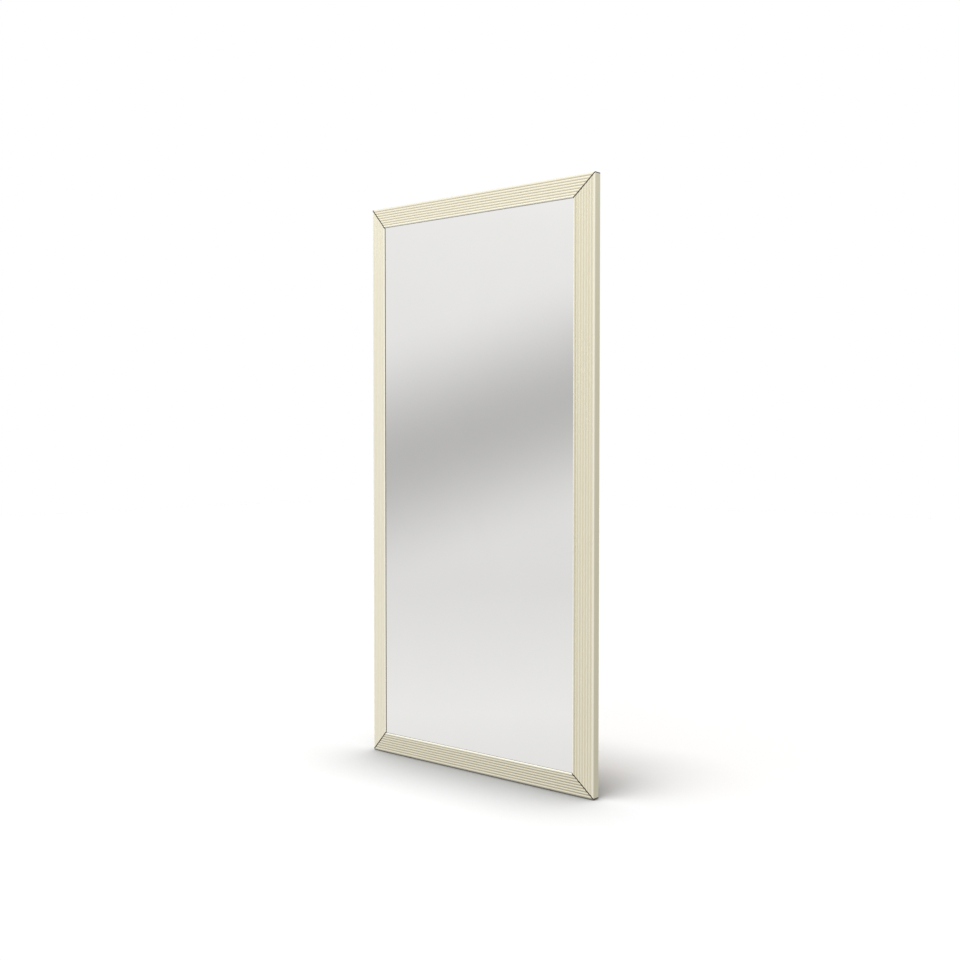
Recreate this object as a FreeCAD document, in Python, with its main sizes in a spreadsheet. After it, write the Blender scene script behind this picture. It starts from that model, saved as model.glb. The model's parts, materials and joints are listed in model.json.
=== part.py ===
import math
import os
import re

import FreeCAD
import Part
import Sketcher

# A full-length mirror in a reeded frame, hung on a wall cleat, in millimetres.
# X runs to the right, Y towards the wall and Z up. The origin lies on the wall,
# midway between the holes that fasten the wall cleat.

# Sizes that can each be set by themselves: name, number, meaning
SIZES = (
    ("frame_height", 2000, "outer height of the frame"),
    ("frame_width", 1000, "outer width of the frame"),
    ("rail_width", 75, "width of a rail seen from the front"),
    ("outer_depth", 26, "depth of a rail at the frame's outer edge"),
    ("inner_depth", 40, "depth that the front's slope reaches at the frame's inner edge"),
    ("reed_count", 8, "reeds side by side on a rail, the innermost a round bead"),
    ("reed_rise", 1.8, "height of a reed above the grooves beside it"),
    ("bead_rise", 3.3, "height of the inner bead above its foot and the groove beside it"),
    ("bead_step", 0.75, "height of the inner bead's foot above that groove"),
    ("rail_wall", 2.2, "wall of the hollow rails"),
    ("ledge_width", 21, "width of the ledge behind the back panel's edge"),
    ("rebate_width", 8, "width of the lip in front of the glass"),
    ("lip_height", 0.4, "height of the lip's edge under the inner bead"),
    ("plate_thickness", 4, "thickness of a mitre plate"),
    ("key_thickness", 14, "thickness of a corner key"),
    ("key_leg", 110, "length of a corner key's leg"),
    ("key_inset", 7, "distance of a corner key from the sides of a rail's deep part"),
    ("key_gap", 0.3, "gap between a corner key and what it slides in"),
    ("key_screw_radius", 3, "radius of a corner key's grub screw"),
    ("key_screw_length", 10, "length of a corner key's grub screw"),
    ("key_screw_count", 2, "grub screws in a corner key's leg"),
    ("key_screw_end", 22, "distance of a leg's last grub screw from its end"),
    ("key_screw_step", 35, "distance between a leg's grub screws"),
    ("strip_width", 5, "width of the cushion strip in front of the glass"),
    ("strip_inset", 0.2, "distance of the cushion strip from the lip's edge"),
    ("strip_thickness", 1.6, "thickness of the cushion strip"),
    ("glass_thickness", 5, "thickness of the mirror glass"),
    ("glass_overlap", 5.5, "width of glass hidden behind the lip"),
    ("film_thickness", 0.3, "thickness of the safety film"),
    ("tape_count", 5, "strips of bonding tape side by side"),
    ("tape_width", 25, "width of a strip of bonding tape"),
    ("tape_thickness", 1.2, "thickness of the bonding tape"),
    ("tape_margin", 60, "distance of the bonding tape from the glass edge"),
    ("panel_thickness", 6, "thickness of the back panel"),
    ("block_length", 80, "length of a setting block"),
    ("block_margin", 250, "distance of a setting block's middle from the glass corner"),
    ("batten_thickness", 14, "thickness of the battens across the back"),
    ("batten_clear", 0.5, "gap round the battens"),
    ("hanging_batten_height", 85, "height of the batten that carries the cleat"),
    ("cross_batten_height", 60, "height of the middle and lower battens"),
    ("lower_batten_level", 200, "height of the lower batten's middle above the frame's bottom"),
    ("batten_screw_radius", 2, "radius of a batten screw's shank"),
    ("batten_screw_head", 4, "radius of a batten screw's head"),
    ("batten_screw_edge", 15, "distance of a batten screw from the batten's edge"),
    ("mitre_clear", 27, "distance of the hanging batten's upper screws from the mitres"),
    ("ledge_screw_count", 4, "screws that fasten the hanging batten to the top rail"),
    ("ledge_screw_step", 210, "distance between those screws"),
    ("screw_bite", 2, "length of a screw's end past the wall it holds"),
    ("head_height", 2, "height of a screw's head"),
    ("driver_radius", 1.4, "radius of the six-sided socket in a screw"),
    ("driver_depth", 1.2, "depth of that socket"),
    ("thread_clear", 0.05, "radial gap between a screw and its hole"),
    ("cleat_length", 760, "length of both cleats"),
    ("cleat_thickness", 3, "thickness of the cleats' walls"),
    ("cleat_flange", 30, "height of the frame cleat's flange"),
    ("cleat_gap", 0.4, "gap on each side of a cleat's lip in the other cleat"),
    ("cleat_margin", 20, "distance of the frame cleat from the hanging batten's top"),
    ("cleat_screw_radius", 1.75, "radius of a cleat screw's shank"),
    ("cleat_screw_head", 3.5, "radius of a cleat screw's head"),
    ("cleat_screw_length", 12, "length of a cleat screw's shank"),
    ("cleat_screw_count", 6, "screws along the frame cleat"),
    ("cleat_screw_margin", 30, "distance of the outer cleat screws from the frame cleat's ends"),
    ("hook_drop", 10, "length of the frame cleat's lip below the hooked edge"),
    ("hook_clear", 2, "gap under the frame cleat's lip"),
    ("wall_flange", 36, "height of the wall cleat's flange"),
    ("wall_hole_radius", 2.75, "radius of the holes for wall screws"),
    ("wall_hole_margin", 60, "distance of the outer wall holes from the wall cleat's ends"),
    ("inner_hole_spacing", 220, "distance between the two inner wall holes"),
    ("button_radius", 6, "radius of a turn button's round ends"),
    ("button_reach", 16, "distance between the middles of those ends"),
    ("button_thickness", 2, "thickness of a turn button"),
    ("button_gap", 0.3, "gap under and over a turn button"),
    ("button_screw_radius", 2, "radius of a turn button's pivot screw"),
    ("button_screw_head", 4, "radius of a pivot screw's head"),
    ("side_button_count", 4, "turn buttons on each stile"),
    ("side_button_margin", 320, "distance of the end buttons from the frame's top and bottom"),
    ("bottom_button_count", 2, "turn buttons on the bottom rail"),
    ("bottom_button_step", 440, "distance between the bottom rail's turn buttons"),
    ("bumper_radius", 11, "radius of a wall bumper"),
    ("bumper_thickness", 2, "thickness of a wall bumper"),
    ("bumper_margin", 160, "distance of a wall bumper from the frame's top or bottom"),
    ("foot_inset", 180, "distance of a foot from the frame's side"),
    ("pad_radius", 9, "radius of a foot's pad"),
    ("pad_height", 3, "height of a foot's pad"),
    ("pad_bevel", 1, "bevel round the top of a foot's pad"),
    ("pad_gap", 0.3, "gap between a foot's pad and the bottom rail"),
    ("stem_radius", 4, "radius of a foot's threaded stem"),
    ("stem_length", 26, "length of a foot's threaded stem"),
    ("stem_seat", 2, "depth of the stem's seat in the pad"),
    ("insert_wall", 1.5, "wall of a foot's threaded insert"),
    ("insert_length", 14, "length of a foot's threaded insert"),
    ("collar_rim", 1.5, "width of the insert's collar inside the rail"),
    ("collar_length", 4, "length of that collar"),
)

# Levels worked out from the sizes: name, formula, meaning
LEVELS = (
    ("frame_side", "frame_width / 2", "X of the frame's outer edge"),
    ("rail_slope", "(inner_depth - outer_depth) / rail_width", "rise of the front per millimetre inwards"),
    ("reed_pitch", "rail_width / round(reed_count)", "distance from groove to groove"),
    ("reed_chord", "reed_pitch * sqrt(1 + rail_slope^2)", "width of a reed along the slope"),
    ("reed_radius", "(reed_chord^2 / 4 + reed_rise^2) / (2 * reed_rise)", "radius of a reed's back"),
    ("groove_height", "outer_depth + rail_slope * (rail_width - reed_pitch)", "height of the innermost groove"),
    ("bead_foot", "groove_height + bead_step", "height of the inner bead's foot above a rail's back"),
    ("bead_chord", "sqrt(reed_pitch^2 + bead_step^2)", "width of the inner bead from foot to groove"),
    ("bead_radius", "(bead_chord^2 / 4 + bead_rise^2) / (2 * bead_rise)", "radius of the inner bead"),
    ("seat_height", "bead_foot - lip_height", "height of the lip's seat above a rail's back"),
    ("web_inset", "rail_width - rebate_width", "inner face of a rail's web, from the outer edge"),
    ("chamber_width", "web_inset - ledge_width", "width of a rail's deep part, from the outer edge"),
    ("pivot_inset", "(chamber_width + web_inset) / 2", "middle of a rail's ledge, from the outer edge"),
    ("rail_middle", "chamber_width / 2", "middle of a rail's back, from the outer edge"),
    ("rail_back", "-bumper_thickness", "Y of the rails' backs"),
    ("seat_level", "rail_back - seat_height", "Y of the lip's seat"),
    ("glass_front", "seat_level + strip_thickness", "Y of the glass front"),
    ("glass_back", "glass_front + glass_thickness", "Y of the glass back"),
    ("film_back", "glass_back + film_thickness", "Y of the safety film's back"),
    ("tape_back", "film_back + tape_thickness", "Y of the bonding tape's back"),
    ("panel_back", "tape_back + panel_thickness", "Y of the back panel's back and of the ledges"),
    ("ledge_height", "rail_back - panel_back", "height of the ledges above the rails' backs"),
    ("batten_back", "panel_back + batten_thickness", "Y of the battens' backs"),
    ("wall_lip_front", "batten_back + cleat_gap", "Y of the wall cleat's lip"),
    ("frame_lip_front", "wall_lip_front + cleat_thickness + cleat_gap", "Y of the frame cleat's lip"),
    ("hook_level", "wall_flange / 2 + hook_clear + hook_drop", "Z where the frame cleat hooks on"),
    ("flange_low", "hook_level + cleat_thickness", "Z of the foot of the frame cleat's flange"),
    ("batten_top", "flange_low + cleat_flange + cleat_margin", "Z of the hanging batten's top"),
    ("frame_top", "batten_top + batten_clear + chamber_width", "Z of the frame's top"),
    ("frame_bottom", "frame_top - frame_height", "Z of the frame's bottom"),
    ("frame_middle", "frame_top - frame_height / 2", "Z of the frame's middle"),
    ("batten_side", "frame_side - chamber_width - batten_clear", "X of a batten's end"),
    ("lip_side", "frame_side - rail_width", "X of the lip's edge"),
    ("lip_low", "frame_bottom + rail_width", "Z of the lower lip's edge"),
    ("lip_high", "frame_top - rail_width", "Z of the upper lip's edge"),
    ("glass_side", "lip_side + glass_overlap", "X of the glass edge"),
    ("glass_low", "lip_low - glass_overlap", "Z of the glass's lower edge"),
    ("glass_high", "lip_high + glass_overlap", "Z of the glass's upper edge"),
    ("block_thickness", "rebate_width - glass_overlap", "gap between glass edge and web"),
    ("mitre_step", "plate_thickness / sqrt(2)", "length a mitre plate takes from a rail's edge"),
    ("key_back", "rail_wall + key_gap", "height of a corner key above the rail's back"),
    ("key_width", "chamber_width - 2 * key_inset", "width of a corner key's leg"),
    ("key_last", "key_inset + key_leg - key_screw_end", "distance of a leg's last grub screw from the corner"),
    ("outer_hole_spacing", "cleat_length - 2 * wall_hole_margin", "distance between the two outer wall holes"),
    ("insert_radius", "stem_radius + insert_wall", "radius of a foot's threaded insert"),
    ("collar_radius", "insert_radius + collar_rim", "radius of the insert's collar"),
    ("foot_side", "frame_side - foot_inset", "X of a foot"),
    ("foot_depth", "rail_back - outer_depth / 2", "Y of a foot"),
    ("foot_top", "frame_bottom - pad_gap", "Z of the top of a foot's pad"),
    ("foot_bottom", "foot_top - pad_height", "Z of the floor"),
)

ALIASES = {alias for alias, content, meaning in SIZES + LEVELS}
RIGHT = FreeCAD.Vector(1, 0, 0)
BACK = FreeCAD.Vector(0, 1, 0)
UP = FreeCAD.Vector(0, 0, 1)
UPWARD = FreeCAD.Rotation()
FRONTWARD = FreeCAD.Rotation(UP, -BACK)
SOCKET_SIDES = 6

# The frame's corners: the edges that meet there and the ways along them, into the frame
CORNERS = {
    "bottom_left": ("-frame_side", "frame_bottom", RIGHT, UP),
    "bottom_right": ("frame_side", "frame_bottom", UP, -RIGHT),
    "top_right": ("frame_side", "frame_top", -RIGHT, -UP),
    "top_left": ("-frame_side", "frame_top", -UP, RIGHT),
}

doc = FreeCAD.newDocument("reeded_mirror")
sheet = doc.addObject("Spreadsheet::Sheet", "Sizes")
nodes = []


# Sheet, formulas and placements


def fill_sheet():
    """Write each size as a number, and each level as a formula, under its own alias."""
    written = [(alias, str(number), meaning) for alias, number, meaning in SIZES]
    written += [(alias, "=" + formula, meaning) for alias, formula, meaning in LEVELS]
    for row, (alias, content, meaning) in enumerate(written, 1):
        sheet.set(f"A{row}", meaning)
        sheet.set(f"B{row}", content)
        sheet.setAlias(f"B{row}", alias)
    doc.recompute()


def cell(word):
    return f"Sizes.{word[0]}" if word[0] in ALIASES else word[0]


def bound(formula):
    """The formula with every size and level named as a cell of the sheet."""
    return re.sub(r"[a-z]\w+", cell, str(formula))


def value(formula):
    return float(sheet.evalExpression(bound(formula)))


def count(alias):
    return round(value(alias))


def place(item, x, y, z, rotation=UPWARD):
    """Put an item at three formulas, turned by a rotation."""
    item.Placement = FreeCAD.Placement(FreeCAD.Vector(value(x), value(y), value(z)), rotation)
    for axis, formula in zip("xyz", (x, y, z)):
        item.setExpression(f"Placement.Base.{axis}", bound(formula))
    return item


def node(label, item):
    """Name a finished piece, which is then written to a file of that name."""
    item.Label = label
    nodes.append(item)


def row_places(number, step):
    """Formulas for places in a row about zero, one step apart."""
    return [f"({index - (number - 1) / 2}) * {step}" for index in range(number)]


# Solids


def box(name, x, y, z):
    """A block between two formulas along each axis."""
    item = doc.addObject("Part::Box", name)
    for size, (low, high) in zip(("Length", "Width", "Height"), (x, y, z)):
        item.setExpression(size, bound(f"({high}) - ({low})"))
    return place(item, x[0], y[0], z[0])


def rod(name, radius, length, x, y, z, way=FRONTWARD):
    """A round bar that starts at a point."""
    item = doc.addObject("Part::Cylinder", name)
    item.setExpression("Radius", bound(radius))
    item.setExpression("Height", bound(length))
    return place(item, x, y, z, way)


def group(name, items):
    item = doc.addObject("Part::Compound", name)
    item.Links = items
    return item


def fuse(name, items):
    item = doc.addObject("Part::MultiFuse", name)
    item.Shapes = items
    return item


def cut(name, base, tools):
    item = doc.addObject("Part::Cut", name)
    item.Base = base
    item.Tool = group(name + "_tools", tools) if len(tools) > 1 else tools[0]
    return item


def socket(name, base, x, y, z):
    """Sink a six-sided socket into the back of a screw."""
    prism = doc.addObject("Part::Prism", name + "_socket")
    prism.Polygon = SOCKET_SIDES
    prism.setExpression("Circumradius", bound("driver_radius"))
    prism.setExpression("Height", bound("driver_depth"))
    place(prism, x, y, z, FRONTWARD)
    return cut(name, base, [prism])


def screw(name, kind, length, x, y, z):
    """A round-headed screw that runs to the front. Its head rests on the level y."""
    head = rod(name + "_head", f"{kind}_head", "head_height", x, f"{y} + head_height", z)
    shank = rod(name + "_shank", f"{kind}_radius", length, x, y, z)
    return socket(name, fuse(name + "_blank", [head, shank]), x, f"{y} + head_height", z)


def drill(name, kind, length, x, y, z):
    """The hole that such a screw needs, from the same level and a little deeper."""
    return rod(name, f"{kind}_radius + thread_clear", f"{length} + thread_clear", x, y, z)


# Sketched bodies


def fix(sketch, kind, where, formula):
    """Tie one measure of a sketch to a formula."""
    index = sketch.addConstraint(Sketcher.Constraint(kind, *where, value(formula)))
    sketch.setExpression(f"Constraints[{index}]", bound(formula))


def side(start, end, radius):
    """A straight side, or an arc of that radius that bulges to the right of its way."""
    if radius is None:
        return Part.LineSegment(start, end)
    along = end - start
    inward = FreeCAD.Vector(-along.y, along.x, 0).normalize()
    centre = (start + end) / 2 + inward * math.sqrt(radius**2 - along.Length**2 / 4)
    first = math.atan2(start.y - centre.y, start.x - centre.x)
    last = math.atan2(end.y - centre.y, end.x - centre.x)
    if last < first:
        last += 2 * math.pi
    return Part.ArcOfCircle(Part.Circle(centre, UP, radius), first, last)


def draw_loop(sketch, corners):
    """A closed loop, anticlockwise. A corner holds two formulas, and a third makes its next side an arc."""
    first = sketch.GeometryCount
    points = [FreeCAD.Vector(value(corner[0]), value(corner[1]), 0) for corner in corners]
    bows = [corner[2] if len(corner) > 2 else None for corner in corners]
    for index, bow in enumerate(bows):
        end = points[(index + 1) % len(points)]
        sketch.addGeometry(side(points[index], end, value(bow) if bow else None), False)
    for index, corner in enumerate(corners):
        following = first + (index + 1) % len(corners)
        sketch.addConstraint(Sketcher.Constraint("Coincident", first + index, 2, following, 1))
        fix(sketch, "DistanceX", (-1, 1, first + index, 1), corner[0])
        fix(sketch, "DistanceY", (-1, 1, first + index, 1), corner[1])
        if bows[index]:
            fix(sketch, "Radius", (first + index,), bows[index])


def draw_circle(sketch, radius, across, up):
    index = sketch.GeometryCount
    centre = FreeCAD.Vector(value(across), value(up), 0)
    sketch.addGeometry(Part.Circle(centre, UP, value(radius)), False)
    fix(sketch, "DistanceX", (-1, 1, index, 3), across)
    fix(sketch, "DistanceY", (-1, 1, index, 3), up)
    fix(sketch, "Radius", (index,), radius)


def draw(body, plane, loops, circles=()):
    """A sketch of loops and circles on one of the body's own planes."""
    sketch = body.newObject("Sketcher::SketchObject", body.Name + "_sketch")
    support = [feature for feature in body.Origin.OriginFeatures if feature.Role == plane][0]
    sketch.AttachmentSupport = (support, [""])
    sketch.MapMode = "FlatFace"
    for corners in loops:
        draw_loop(sketch, corners)
    for circle in circles:
        draw_circle(sketch, *circle)
    return sketch


def pad(name, plane, length, loops, circles=(), both_ways=False):
    """A body made by one pad of a sketch."""
    body = doc.addObject("PartDesign::Body", name)
    feature = body.newObject("PartDesign::Pad", name + "_pad")
    feature.Profile = draw(body, plane, loops, circles)
    feature.setExpression("Length", bound(length))
    feature.Midplane = both_ways
    return body


def trim(body, loops):
    """Cut a body right through along its own Y, inside each loop."""
    feature = body.newObject("PartDesign::Pocket", body.Name + "_trim")
    feature.Profile = draw(body, "XZ_Plane", loops)
    feature.Type = "ThroughAll"
    feature.Midplane = True


# Frame rails and stiles


def slope_at(inset, below):
    """Height of the front wall's inside, over a rail's back, at a distance from the outer edge."""
    return f"outer_depth + rail_slope * ({inset}) - {below}"


def rail_outline(stretch, front):
    """A rail's section without its chambers: back, ledge, rebate, lip, and the front that is given."""
    back = [
        ("0", "0"),
        (f"chamber_width{stretch}", "0"),
        (f"chamber_width{stretch}", "ledge_height"),
        (f"web_inset{stretch}", "ledge_height"),
        (f"web_inset{stretch}", "seat_height"),
        (f"rail_width{stretch}", "seat_height"),
    ]
    return back + front


def reeds():
    """The front, from the inner bead over the reeds to the outer edge."""
    number = count("reed_count")
    bead = ("rail_width", "bead_foot", "bead_radius")
    grooves = [f"{number - index} * reed_pitch" for index in range(1, number)]
    return [bead] + [(inset, slope_at(inset, 0), "reed_radius") for inset in grooves] + [("0", "outer_depth")]


def chamber(start, end, low):
    """A hollow inside a rail, with its roof along the slope."""
    return [
        (start, low),
        (end, low),
        (end, slope_at(end, "rail_wall")),
        (start, slope_at(start, "rail_wall")),
    ]


def rail(name, length):
    """A hollow reeded rail along its own Z, mitred at both ends and shortened there by half a mitre plate."""
    chambers = [
        chamber("rail_wall", "chamber_width - rail_wall", "rail_wall"),
        chamber("chamber_width", "web_inset - rail_wall", "ledge_height + rail_wall"),
    ]
    body = pad(name, "XY_Plane", length, [rail_outline("", reeds())] + chambers)
    over = "rail_width"
    near = [
        (f"-{over}", f"-2 * {over}"),
        (f"2 * {over}", f"-2 * {over}"),
        (f"2 * {over}", f"2 * {over} + mitre_step"),
        (f"-{over}", f"mitre_step - {over}"),
    ]
    far = [(across, f"{length} - ({up})") for across, up in reversed(near)]
    trim(body, [near, far])
    return body


def turned(across, along):
    """The rotation that lays a section's width one way, its depth to the front and its length another way."""
    return FreeCAD.Rotation(across, -BACK, along, "ZXY")


def make_frame():
    """The four reeded rails, drilled for the screws and the feet's inserts."""
    stiles = {"left": (-1, RIGHT, -UP, "frame_top"), "right": (1, -RIGHT, UP, "frame_bottom")}
    for name, (sign, across, along, start) in stiles.items():
        stile = rail(f"{name}_section", "frame_height")
        place(stile, f"{sign} * frame_side", "rail_back", start, turned(across, along))
        holes = key_drills(f"{name}_stile", [corner for corner in CORNERS if name in corner], "stile")
        holes += [drill(f"{name}_button_drill", "button_screw", button_screw_length(), *spot)
                  for spot in side_button_spots(sign)]
        holes += [drill(f"{name}_batten_drill", "batten_screw", batten_screw_length(), *spot)
                  for spot in batten_spots(sign)]
        node(f"{name}_stile", cut(f"{name}_stile", stile, holes))

    top = rail("top_section", "frame_width")
    place(top, "frame_side", "rail_back", "frame_top", turned(-UP, -RIGHT))
    holes = key_drills("top_rail", ["top_left", "top_right"], "rail")
    holes += [drill("ledge_drill", "batten_screw", batten_screw_length(), *spot) for spot in ledge_spots()]
    node("top_rail", cut("top_rail", top, holes))

    bottom = rail("bottom_section", "frame_width")
    place(bottom, "-frame_side", "rail_back", "frame_bottom", turned(UP, RIGHT))
    holes = key_drills("bottom_rail", ["bottom_left", "bottom_right"], "rail")
    holes += [drill("bottom_button_drill", "button_screw", button_screw_length(), *spot)
              for spot in bottom_button_spots()]
    for sign in (-1, 1):
        spot = (f"{sign} * foot_side", "foot_depth", "frame_bottom - thread_clear")
        radius, length = "insert_radius + thread_clear", "rail_wall + thread_clear"
        holes.append(rod("insert_drill", radius, length, *spot, UPWARD))
    node("bottom_rail", cut("bottom_rail", bottom, holes))


# Mitre plates, corner keys and their screws


def corner_spot(corner, first, second):
    """X and Z of a point at two distances from a corner: along the rail and up or down the stile."""
    x, z, one_way, other_way = CORNERS[corner]
    ways = one_way + other_way
    return f"{x} + {int(ways.x)} * ({first})", f"{z} + {int(ways.z)} * ({second})"


def make_mitre_plates():
    """A dark plate in each mitre, as high as the grooves and the bead, pointed where it meets the corners."""
    stretch = " * sqrt(2)"
    front = [
        (f"rail_width{stretch}", "bead_foot"),
        (f"(rail_width - reed_pitch / 2){stretch}", "groove_height + bead_rise"),
        (f"(rail_width - reed_pitch){stretch}", "groove_height"),
        ("0", "outer_depth"),
    ]
    window_start = f"(key_inset - key_gap){stretch}"
    window_end = f"(key_inset + key_width + key_gap){stretch} + plate_thickness / 2"
    window_low = "key_back - key_gap"
    window_high = "key_back + key_thickness + key_gap"
    window = [
        (window_start, window_low),
        (window_end, window_low),
        (window_end, window_high),
        (window_start, window_high),
    ]
    over = "plate_thickness"
    near = [("0", "0"), (over, over), (f"-{over}", over), (f"-{over}", f"-{over}"), (over, f"-{over}")]
    far = [(f"rail_width{stretch} - ({along})", up) for along, up in reversed(near)]
    for corner, (x, z, one_way, other_way) in CORNERS.items():
        loops = [rail_outline(stretch, front), window]
        body = pad(f"{corner}_plate", "XY_Plane", "plate_thickness", loops, both_ways=True)
        trim(body, [near, far])
        diagonal = (one_way + other_way).normalize()
        place(body, x, "rail_back", z, FreeCAD.Rotation(diagonal, -BACK, diagonal.cross(-BACK), "ZXY"))
        node(f"{corner}_mitre_plate", body)


def key_screw_places():
    """Distances of a leg's grub screws from the frame's corner."""
    return [f"key_last - {index} * key_screw_step" for index in range(count("key_screw_count"))]


def key_spots(corner):
    """X, Y and Z of a corner's grub screws, with the kind of rail that each goes through."""
    for along in key_screw_places():
        x, z = corner_spot(corner, along, "rail_middle")
        yield "rail", (x, "rail_back", z)
        x, z = corner_spot(corner, "rail_middle", along)
        yield "stile", (x, "rail_back", z)


def key_drills(name, corners, kind):
    """The holes of the grub screws in one rail's back wall."""
    spots = [spot for corner in corners for held, spot in key_spots(corner) if held == kind]
    return [rod(f"{name}_key_drill", "key_screw_radius + thread_clear", "key_back", *spot) for spot in spots]


def make_corner_keys():
    """A square key in each corner that joins the two rails, and the grub screws that lock it."""
    low, mid, high = "key_inset", "key_inset + key_width", "key_inset + key_leg"
    corners = [(low, low), (high, low), (high, mid), (mid, mid), (mid, high), (low, high)]
    bore = "key_screw_radius + thread_clear"
    holes = [(bore, along, "rail_middle") for along in key_screw_places()]
    holes += [(bore, "rail_middle", along) for along in key_screw_places()]
    screws = []
    for corner, (x, z, one_way, other_way) in CORNERS.items():
        body = pad(f"{corner}_key", "XY_Plane", "key_thickness", [corners], holes)
        place(body, x, "rail_back - key_back", z, FreeCAD.Rotation(one_way, other_way, -BACK, "ZXY"))
        node(f"{corner}_corner_key", body)
        for held, spot in key_spots(corner):
            blank = rod(f"{corner}_grub_blank", "key_screw_radius", "key_screw_length", *spot)
            screws.append(socket(f"{corner}_grub", blank, *spot))
    node("corner_key_screws", group("grubs", screws))


# Glass and what lies behind it


def pane(name, low, high):
    """A sheet of the glass's own outline between two levels."""
    return box(name, ("-glass_side", "glass_side"), (low, high), ("glass_low", "glass_high"))


def make_glass():
    """The cushion strip, glass, safety film, bonding tape, back panel and setting blocks."""
    y = ("seat_level", "glass_front")
    out, inner = "strip_inset + strip_width", "strip_inset"
    across = (f"-lip_side - {inner}", f"lip_side + {inner}")
    upright = (f"lip_low - ({out})", f"lip_high + {out}")
    strips = [
        box("strip_left", (f"-lip_side - ({out})", across[0]), y, upright),
        box("strip_right", (across[1], f"lip_side + {out}"), y, upright),
        box("strip_low", across, y, (upright[0], f"lip_low - {inner}")),
        box("strip_high", across, y, (f"lip_high + {inner}", upright[1])),
    ]
    node("cushion_strip", group("strips", strips))
    node("mirror_glass", pane("glass", "glass_front", "glass_back"))
    node("safety_film", pane("film", "glass_back", "film_back"))
    number = count("tape_count")
    tape_step = f"(2 * (glass_side - tape_margin) - tape_width) / {number - 1}"
    z = ("glass_low + tape_margin", "glass_high - tape_margin")
    tapes = [
        box("tape", (f"{x} - tape_width / 2", f"{x} + tape_width / 2"), ("film_back", "tape_back"), z)
        for x in row_places(number, tape_step)
    ]
    node("bonding_tape", group("tapes", tapes))
    node("back_panel", pane("panel", "tape_back", "panel_back"))
    make_setting_blocks()


def make_setting_blocks():
    """Two blocks on each edge that keep the glass off the frame."""
    y = ("glass_front", "glass_back")
    half = "block_length / 2"
    blocks = []
    for sign in (-1, 1):
        x = f"{sign} * (glass_side - block_margin)"
        run = (f"{x} - {half}", f"{x} + {half}")
        blocks.append(box("block_low", run, y, ("glass_low - block_thickness", "glass_low")))
        blocks.append(box("block_high", run, y, ("glass_high", "glass_high + block_thickness")))
        z = f"frame_middle + {sign} * ((glass_high - glass_low) / 2 - block_margin)"
        run = (f"{z} - {half}", f"{z} + {half}")
        blocks.append(box("block_left", ("-glass_side - block_thickness", "-glass_side"), y, run))
        blocks.append(box("block_right", ("glass_side", "glass_side + block_thickness"), y, run))
    node("setting_blocks", group("blocks", blocks))


# Battens across the back


def batten_levels():
    """Name, lower edge and upper edge of each batten."""
    half = "cross_batten_height / 2"
    lower = "frame_bottom + lower_batten_level"
    return {
        "hanging_batten": ("batten_top - hanging_batten_height", "batten_top"),
        "middle_batten": (f"frame_middle - {half}", f"frame_middle + {half}"),
        "lower_batten": (f"{lower} - {half}", f"{lower} + {half}"),
    }


def batten_screw_length():
    return "batten_thickness + rail_wall + screw_bite"


def batten_spots(sign, names=("hanging_batten", "middle_batten", "lower_batten")):
    """The screws at one end of the battens, in the middle of a stile's ledge."""
    x = f"{sign} * (frame_side - pivot_inset)"
    spots = []
    for name in names:
        low, high = batten_levels()[name]
        upper = f"{high} - batten_screw_edge"
        if name == "hanging_batten":
            # the ledge ends at the mitre
            upper = "frame_top - pivot_inset - mitre_clear"
        spots.append((x, "batten_back", f"{low} + batten_screw_edge"))
        spots.append((x, "batten_back", upper))
    return spots


def ledge_spots():
    """The screws along the hanging batten, in the middle of the top rail's ledge."""
    places = row_places(count("ledge_screw_count"), "ledge_screw_step")
    return [(x, "batten_back", "frame_top - pivot_inset") for x in places]


def cleat_spots(level):
    """The screws along the frame cleat, on a level."""
    number = count("cleat_screw_count")
    places = row_places(number, f"(cleat_length - 2 * cleat_screw_margin) / {number - 1}")
    return [(x, level, "flange_low + cleat_flange / 2") for x in places]


def make_battens():
    """Three battens that lie on the ledges and hold the back panel in, and their screws."""
    screws = []
    for name, (low, high) in batten_levels().items():
        spots = batten_spots(-1, (name,)) + batten_spots(1, (name,))
        holes = []
        if name == "hanging_batten":
            spots += ledge_spots()
            reach = "cleat_screw_length - cleat_thickness"
            holes = [drill("cleat_drill", "cleat_screw", reach, *spot) for spot in cleat_spots("batten_back")]
        across, deep = ("-batten_side", "batten_side"), ("panel_back", "batten_back")
        blank = box(f"{name}_blank", across, deep, (low, high))
        holes += [drill(f"{name}_drill", "batten_screw", batten_screw_length(), *spot) for spot in spots]
        node(name, cut(name, blank, holes))
        screws += [screw(f"{name}_screw", "batten_screw", batten_screw_length(), *spot) for spot in spots]
    node("batten_screws", group("batten_screw_group", screws))


# Hanging cleats


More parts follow.
